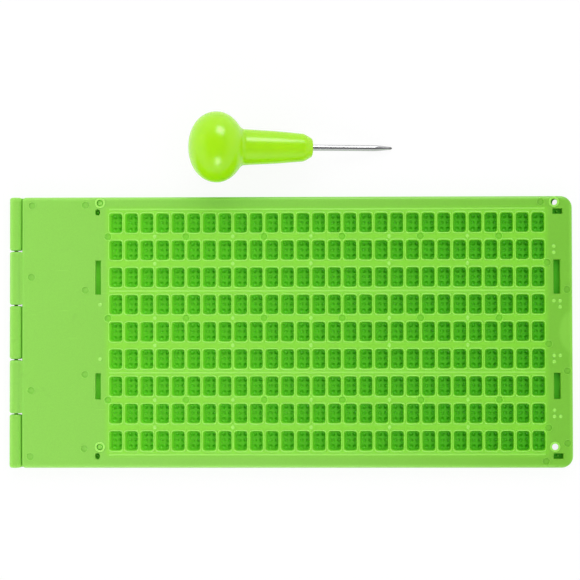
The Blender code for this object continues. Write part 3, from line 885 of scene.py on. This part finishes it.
def moulded_abs(name, grid, lattice, raised, shine, half_moon_light):
    """ABS, injection moulded in a spark-eroded tool: satin, with a fine even grain, a faint cloudy tone from
    moulding, and deeper in the thin lattice of cells. Painted light makes it paler toward the hinge, as if
    lit more strongly there, with a painted glow along the rim and painted shade deepest down in the windows.
    The raised relief is painted paler as a highlight, partly real wear, and a half-moon at the right edge is
    painted paler for the light on a shallow relief there."""
    material, tree, shader = fresh_material(
        name, IOR=1.53, Subsurface_Weight=0.12, Subsurface_Scale=0.6 * MM, Specular_IOR_Level=shine)
    shader.inputs["Subsurface Radius"].default_value = (0.6, 1.0, 0.35)
    place = add(tree, "ShaderNodeTexCoord").outputs["Object"]
    axes = add(tree, "ShaderNodeSeparateXYZ", links={"Vector": place})
    # Clouds about 30 mm across in the plastic's tone, and painted light: paler toward the hinge and darker
    # toward the far end, as if the hinge side were lit more strongly
    clouds = add(tree, "ShaderNodeTexNoise", None,
                 {"Scale": 1 / (30 * MM), "Detail": 3.0, "Roughness": 0.55}, {"Vector": place})
    along = add(tree, "ShaderNodeMapRange", None,
                {"From Min": -105 * MM, "From Max": 110 * MM, "To Min": -0.06, "To Max": 0.94},
                {"Value": axes.outputs["X"]})
    flow = add(tree, "ShaderNodeMath", {"operation": "MULTIPLY_ADD"}, {1: 0.12},
               {0: clouds.outputs["Fac"], 2: along.outputs["Result"]})
    # The last of these, a pale green, tints the real scuffs and also the painted glow, the painted half-moon
    # and the painted highlight on the relief
    edge, body, recess_shade, polished = [
        add(tree, "ShaderNodeMix", {"data_type": "RGBA"}, {"A": colour(lit_end), "B": colour(far)},
            {"Factor": flow.outputs["Value"]}).outputs["Result"]
        for lit_end, far in (MARGIN_GREENS, grid, PAINTED_SHADE_GREENS, WORN_AND_LIT_GREENS)]
    # Painted shade: below the relief the plastic is painted a deeper green, standing in for the shade down
    # in the windows
    painted_recess_shade = add(tree, "ShaderNodeMapRange", {"interpolation_type": "SMOOTHSTEP"},
               {"From Min": raised - 1.4 * MM, "From Max": raised - 0.3 * MM, "To Min": 0.85, "To Max": 0.0},
               {"Value": axes.outputs["Z"]}).outputs["Result"]
    body = add(tree, "ShaderNodeMix", {"data_type": "RGBA"}, None,
               {"Factor": painted_recess_shade, "A": body, "B": recess_shade}).outputs["Result"]
    shade = add(tree, "ShaderNodeMix", {"data_type": "RGBA"}, None,
                {"Factor": soft_box(tree, axes, lattice, 3 * MM), "A": edge, "B": body}).outputs["Result"]
    # Painted glow: paler along the rim, standing in for light shining through and catching the rounded edges
    rim = add(tree, "ShaderNodeMapRange", None, {"To Min": 0.45, "To Max": 0.0},
              {"Value": soft_box(tree, axes, LEAF_SIDES, 2 * MM)}).outputs["Result"]
    shade = add(tree, "ShaderNodeMix", {"data_type": "RGBA"}, None,
                {"Factor": rim, "A": shade, "B": polished}).outputs["Result"]
    # Spark-eroded grain, 0.1 mm on the real part, drawn at 0.35 mm so that it shows
    grain = add(tree, "ShaderNodeTexNoise", None, {"Scale": 1 / (0.35 * MM), "Detail": 2.0},
                {"Vector": place}).outputs["Fac"]
    speck = add(tree, "ShaderNodeMapRange", None,
                {"From Min": 0.25, "From Max": 0.75, "To Min": 0.95, "To Max": 1.05}, {"Value": grain})
    shade = add(tree, "ShaderNodeMix", {"data_type": "RGBA", "blend_type": "MULTIPLY"}, {"Factor": 1.0},
                {"A": shade, "B": speck.outputs["Result"]}).outputs["Result"]
    # Handling marks: short light strokes and faint dull smudges
    stretched = add(tree, "ShaderNodeMapping", None,
                    {"Scale": (1 / (14 * MM), 1 / (0.9 * MM), 1.0),
                     "Rotation": (0.0, 0.0, math.radians(38))}, {"Vector": place}).outputs["Vector"]
    strokes = add(tree, "ShaderNodeTexNoise", None, {"Scale": 1.0, "Detail": 1.0}, {"Vector": stretched})
    scuffed = add(tree, "ShaderNodeMapRange", None,
                  {"From Min": 0.72, "From Max": 0.8, "To Max": 0.35}, {"Value": strokes.outputs["Fac"]})
    smudges = add(tree, "ShaderNodeTexNoise", None,
                  {"Scale": 1 / (11 * MM), "Detail": 2.0, "Distortion": 0.8}, {"Vector": place})
    dulled = add(tree, "ShaderNodeMapRange", None,
                 {"From Min": 0.66, "From Max": 0.8, "To Max": 0.16}, {"Value": smudges.outputs["Fac"]})
    dull = add(tree, "ShaderNodeRGB")
    dull.outputs["Color"].default_value = colour(SMUDGE_GREEN)
    # Painted light: a paler half-moon at the middle of the right edge, standing in for the light on a
    # shallow relief there
    crescent = add(tree, "ShaderNodeMapping", None,
                   {"Scale": (1 / HALF_MOON_WIDTH, 1 / HALF_MOON_LENGTH, 0.0),
                    "Location": (-SLATE_RIGHT / HALF_MOON_WIDTH, 0.0, 0.0)}, {"Vector": place}).outputs["Vector"]
    reach = add(tree, "ShaderNodeVectorMath", {"operation": "LENGTH"}, None, {0: crescent}).outputs["Value"]
    pressed = add(tree, "ShaderNodeMapRange", {"interpolation_type": "SMOOTHSTEP"},
                  {"From Min": 0.75, "From Max": 1.05, "To Min": half_moon_light, "To Max": 0.0}, {"Value": reach})
    # Painted highlight on the raised relief, its crests painted paler as if catching the light, partly real
    # wear; but not on the knuckles
    crest_highlight_and_wear = add(tree, "ShaderNodeMapRange", {"interpolation_type": "SMOOTHSTEP"},
                {"From Min": raised, "From Max": raised + 0.18 * MM, "To Max": 0.9},
                {"Value": axes.outputs["Z"]})
    leaf = add(tree, "ShaderNodeMath", {"operation": "GREATER_THAN"}, {1: LEAF_EDGE_X},
               {0: axes.outputs["X"]})
    crest_highlight_and_wear = add(tree, "ShaderNodeMath", {"operation": "MULTIPLY"}, None,
                {0: crest_highlight_and_wear.outputs["Result"], 1: leaf.outputs["Value"]})
    # Real scuffs and smudges, then the painted half-moon and the painted highlight on the relief
    for share, tint in ((scuffed.outputs["Result"], polished),
                        (dulled.outputs["Result"], dull.outputs["Color"]),
                        (pressed.outputs["Result"], polished), (crest_highlight_and_wear.outputs["Value"], polished)):
        shade = add(tree, "ShaderNodeMix", {"data_type": "RGBA"}, None,
                    {"Factor": share, "A": shade, "B": tint}).outputs["Result"]
    tree.links.new(shade, shader.inputs["Base Color"])
    gloss = add(tree, "ShaderNodeMapRange", None,
                {"From Min": 0.3, "From Max": 0.7, "To Min": 0.38, "To Max": 0.5}, {"Value": grain})
    tree.links.new(gloss.outputs["Result"], shader.inputs["Roughness"])
    bump = add(tree, "ShaderNodeBump", None, {"Strength": 0.25, "Distance": 0.02 * MM}, {"Height": grain})
    tree.links.new(bump.outputs["Normal"], shader.inputs["Normal"])
    return material


def moulded_propionate():
    """Cellulose propionate, moulded and tumbled to a high gloss: slightly milky and translucent, in clouds
    about 9 mm across, with the faintest waviness left by tumbling."""
    material, tree, shader = fresh_material(
        "moulded_propionate", IOR=1.48, Roughness=0.24, Subsurface_Weight=0.5, Subsurface_Scale=6 * MM)
    shader.inputs["Subsurface Radius"].default_value = (0.7, 1.0, 0.25)
    place = add(tree, "ShaderNodeTexCoord").outputs["Object"]
    cloud = add(tree, "ShaderNodeTexNoise", None, {"Scale": 1 / (9 * MM), "Detail": 2.0},
                {"Vector": place}).outputs["Fac"]
    milky = add(tree, "ShaderNodeMapRange", None, {"From Min": 0.3, "From Max": 0.7}, {"Value": cloud})
    clear_lime, milky_lime = [colour(code) for code in GRIP_LIMES]
    shade = add(tree, "ShaderNodeMix", {"data_type": "RGBA"}, {"A": clear_lime, "B": milky_lime},
                {"Factor": milky.outputs["Result"]}).outputs["Result"]
    tree.links.new(shade, shader.inputs["Base Color"])
    bump = add(tree, "ShaderNodeBump", None, {"Strength": 0.12, "Distance": 0.05 * MM}, {"Height": cloud})
    tree.links.new(bump.outputs["Normal"], shader.inputs["Normal"])
    return material


def turned_steel(name, body, roughness):
    """Stainless steel, turned and polished: bright metal with rings 0.15 mm apart round the axis, drawn at
    0.3 mm so that they show, and painted shade that makes the point darker."""
    material, tree, shader = fresh_material(name, Metallic=1.0)
    place = add(tree, "ShaderNodeTexCoord").outputs["Object"]
    rings = add(tree, "ShaderNodeTexWave", {"wave_type": "BANDS", "bands_direction": "X"},
                {"Scale": 1 / MM, "Distortion": 2.0, "Detail": 2.0}, {"Vector": place}).outputs["Fac"]
    along = add(tree, "ShaderNodeSeparateXYZ", links={"Vector": place}).outputs["X"]
    # Painted shade: the needle is painted darker toward its point
    painted_point_shade = add(tree, "ShaderNodeMapRange", {"interpolation_type": "SMOOTHSTEP"},
               {"From Min": SHADED_POINT_START, "From Max": SHADED_POINT_END},
               {"Value": along}).outputs["Result"]
    shade = add(tree, "ShaderNodeMix", {"data_type": "RGBA"}, {"A": colour(body), "B": colour(SHADED_POINT_STEEL)},
                {"Factor": painted_point_shade}).outputs["Result"]
    tree.links.new(shade, shader.inputs["Base Color"])
    gloss = add(tree, "ShaderNodeMapRange", None,
                {"To Min": roughness - 0.03, "To Max": roughness + 0.06}, {"Value": rings})
    tree.links.new(gloss.outputs["Result"], shader.inputs["Roughness"])
    bump = add(tree, "ShaderNodeBump", None, {"Strength": 0.1, "Distance": 0.01 * MM}, {"Height": rings})
    tree.links.new(bump.outputs["Normal"], shader.inputs["Normal"])
    return material


def paint(item, material):
    """Gives a piece its one material."""
    item.data.materials.clear()
    item.data.materials.append(material)


def background_rays(tree, path):
    """One where a ray shows the background: to the camera, in a reflection or through a clear piece."""
    first = add(tree, "ShaderNodeMath", {"operation": "MAXIMUM"},
                links={0: path.outputs["Is Camera Ray"], 1: path.outputs["Is Glossy Ray"]})
    return add(tree, "ShaderNodeMath", {"operation": "MAXIMUM"},
               links={0: first.outputs["Value"], 1: path.outputs["Is Transmission Ray"]}).outputs["Value"]


# Table top: its size in metres, its drop under the slate, and the share and strength of the white over it
FLOOR_SIZE = 12.0
FLOOR_DROP = 0.03 * MM
WHITE_SHARE = 0.86
WHITE_STRENGTH = 1.04


def add_floor():
    """A pale table top. It shows white to the camera and in reflections, and keeps a faint shadow."""
    bpy.ops.mesh.primitive_plane_add(size=FLOOR_SIZE, location=(0.0, 0.0, -FLOOR_DROP))
    floor = named("floor")
    material = bpy.data.materials.new("pale_table_top")
    material.use_nodes = True
    tree = material.node_tree
    tree.nodes.clear()
    seen = background_rays(tree, add(tree, "ShaderNodeLightPath"))
    share = add(tree, "ShaderNodeMath", {"operation": "MULTIPLY"}, {1: WHITE_SHARE}, {0: seen})
    body = add(tree, "ShaderNodeBsdfDiffuse", None, {"Color": (0.8, 0.8, 0.8, 1.0)})
    white = add(tree, "ShaderNodeEmission", None,
                {"Color": (1.0, 1.0, 1.0, 1.0), "Strength": WHITE_STRENGTH})
    mixed = add(tree, "ShaderNodeMixShader", None, None,
                {0: share.outputs["Value"], 1: body.outputs["BSDF"], 2: white.outputs["Emission"]})
    add(tree, "ShaderNodeOutputMaterial", links={"Surface": mixed.outputs["Shader"]})
    paint(floor, material)
    return floor


# Strength of the studio's light from the sides and from above, and of its ceiling in reflections
SIDE_LIGHT = 0.85
TOP_LIGHT = 0.35
CEILING_LIGHT = 0.2


def add_world():
    """Even studio light, stronger from the sides than from above, and white to the camera. In reflections
    the white fades with height into a dim ceiling."""
    world = bpy.data.worlds.new("studio")
    bpy.context.scene.world = world
    world.use_nodes = True
    tree = world.node_tree
    tree.nodes.clear()
    path = add(tree, "ShaderNodeLightPath")
    place = add(tree, "ShaderNodeTexCoord").outputs["Generated"]
    rise = add(tree, "ShaderNodeSeparateXYZ", links={"Vector": place}).outputs["Z"]
    walls = add(tree, "ShaderNodeMapRange", {"interpolation_type": "SMOOTHSTEP"},
                {"From Min": 0.3, "From Max": 0.82, "To Min": 1.0, "To Max": CEILING_LIGHT}, {"Value": rise})
    light = add(tree, "ShaderNodeMapRange", None, {"To Min": SIDE_LIGHT, "To Max": TOP_LIGHT},
                {"Value": rise})
    mirrored = add(tree, "ShaderNodeMix", {"data_type": "FLOAT"}, None,
                   {"Factor": path.outputs["Is Glossy Ray"], "A": light.outputs["Result"],
                    "B": walls.outputs["Result"]})
    direct = add(tree, "ShaderNodeMath", {"operation": "MAXIMUM"},
                 links={0: path.outputs["Is Camera Ray"], 1: path.outputs["Is Transmission Ray"]})
    shown = add(tree, "ShaderNodeMix", {"data_type": "FLOAT"}, {"B": 1.0},
                {"Factor": direct.outputs["Value"], "A": mirrored.outputs["Result"]})
    back = add(tree, "ShaderNodeBackground", None, {"Color": (1.0, 1.0, 1.0, 1.0)},
               {"Strength": shown.outputs["Result"]})
    add(tree, "ShaderNodeOutputWorld", links={"Surface": back.outputs["Background"]})


# Softboxes: azimuth from +X and elevation in degrees, distance, width and height in metres, brightness with
# 1 as bright as the white background, and whether it shows in gloss or else lights the surfaces. All aim at
# one point between the slate and the stylus
SOFTBOXES = {
    "east_bank": (0, 50, 0.9, 0.9, 0.6, 1.0, False),
    "north_bank": (90, 40, 0.9, 0.9, 0.5, 1.9, False),
    "west_bank": (180, 22, 0.9, 0.8, 0.4, 2.2, False),
    "south_bank": (270, 28, 0.9, 1.0, 0.35, 1.75, False),
    "north_spot": (76, 38, 0.7, 0.36, 0.27, 8.5, True),
    "south_spot": (270, 40, 0.65, 0.25, 0.26, 7.0, True)}
SOFTBOX_AIM = (0.0, 0.03, 0.0)


def softbox(name, azimuth, elevation, distance, width, height, brightness, mirrored):
    """A studio softbox, turned to its aim."""
    data = bpy.data.lights.new(name, "AREA")
    data.shape = "RECTANGLE"
    data.size, data.size_y = width, height
    data.energy = brightness * math.pi * width * height
    lamp = bpy.data.objects.new(name, data)
    bpy.context.scene.collection.objects.link(lamp)
    lamp.visible_glossy, lamp.visible_diffuse = mirrored, not mirrored
    turn, rise = math.radians(azimuth), math.radians(elevation)
    away = Vector((math.cos(turn) * math.cos(rise), math.sin(turn) * math.cos(rise), math.sin(rise)))
    lamp.location = Vector(SOFTBOX_AIM) + away * distance
    lamp.rotation_euler = away.to_track_quat("Z", "Y").to_euler()
    return lamp


# The camera's sensor width and lens in millimetres, its place, and its small tilt in radians
CAMERA_SENSOR = 36.0
CAMERA_LENS = 81.95
CAMERA_PLACE = (7.355 * MM, 7.402 * MM, 520.0 * MM)
CAMERA_TILT = (0.0175, 0.0142, -0.0018)


def add_camera():
    """The photograph's view from above, tilted a little because the photograph is cropped off centre."""
    data = bpy.data.cameras.new("camera")
    data.sensor_width = CAMERA_SENSOR
    data.lens = CAMERA_LENS
    camera = bpy.data.objects.new("camera", data)
    bpy.context.scene.collection.objects.link(camera)
    camera.location = CAMERA_PLACE
    camera.rotation_euler = CAMERA_TILT
    bpy.context.scene.camera = camera


def dress():
    """Makes every piece, and gives each its material and its body."""
    upper = moulded_abs("moulded_abs_upper", LATTICE_GREENS, LATTICE_SIDES, COVER_RELIEF,
                        shine=0.5, half_moon_light=0.26)
    # The lower leaf is painted in the shaded greens, standing in for the shade it lies in under the cover
    lower = moulded_abs("moulded_abs_lower", PAINTED_SHADE_GREENS, PLATE_SIDES, PLATE_RELIEF,
                        shine=0.3, half_moon_light=0.0)
    grip = moulded_propionate()
    steel = turned_steel("turned_steel", POLISHED_STEEL, roughness=0.16)
    # The hinge pin's wire takes the steel painted dark for the shade it lies in
    wire = turned_steel("drawn_steel_wire", SHADED_PIN_STEEL, roughness=0.3)
    for piece, material, body, node, slot in (
            (finish_pit_plate(), lower, "lower_leaf", "pit_plate", "leaf_plastic"),
            (finish_cover(), upper, "upper_leaf", "cover", "leaf_plastic"),
            (spun("grip_moulding", handle_outline(), steps=64), grip, "stylus", "stylus_handle",
             "grip_plastic"),
            (spun("needle_turning", needle_outline(), steps=40), steel, "stylus", "stylus_needle",
             "steel")):
        paint(piece, material)
        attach(piece, body)
        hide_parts(node)
    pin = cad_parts["hinge_pin"]
    for place in pin.material_slots:
        place.material = wire


dress()
add_floor()
add_world()
for lamp_name, lamp_values in SOFTBOXES.items():
    softbox(lamp_name, *lamp_values)
add_camera()
bpy.context.scene.view_settings.view_transform = "Standard"
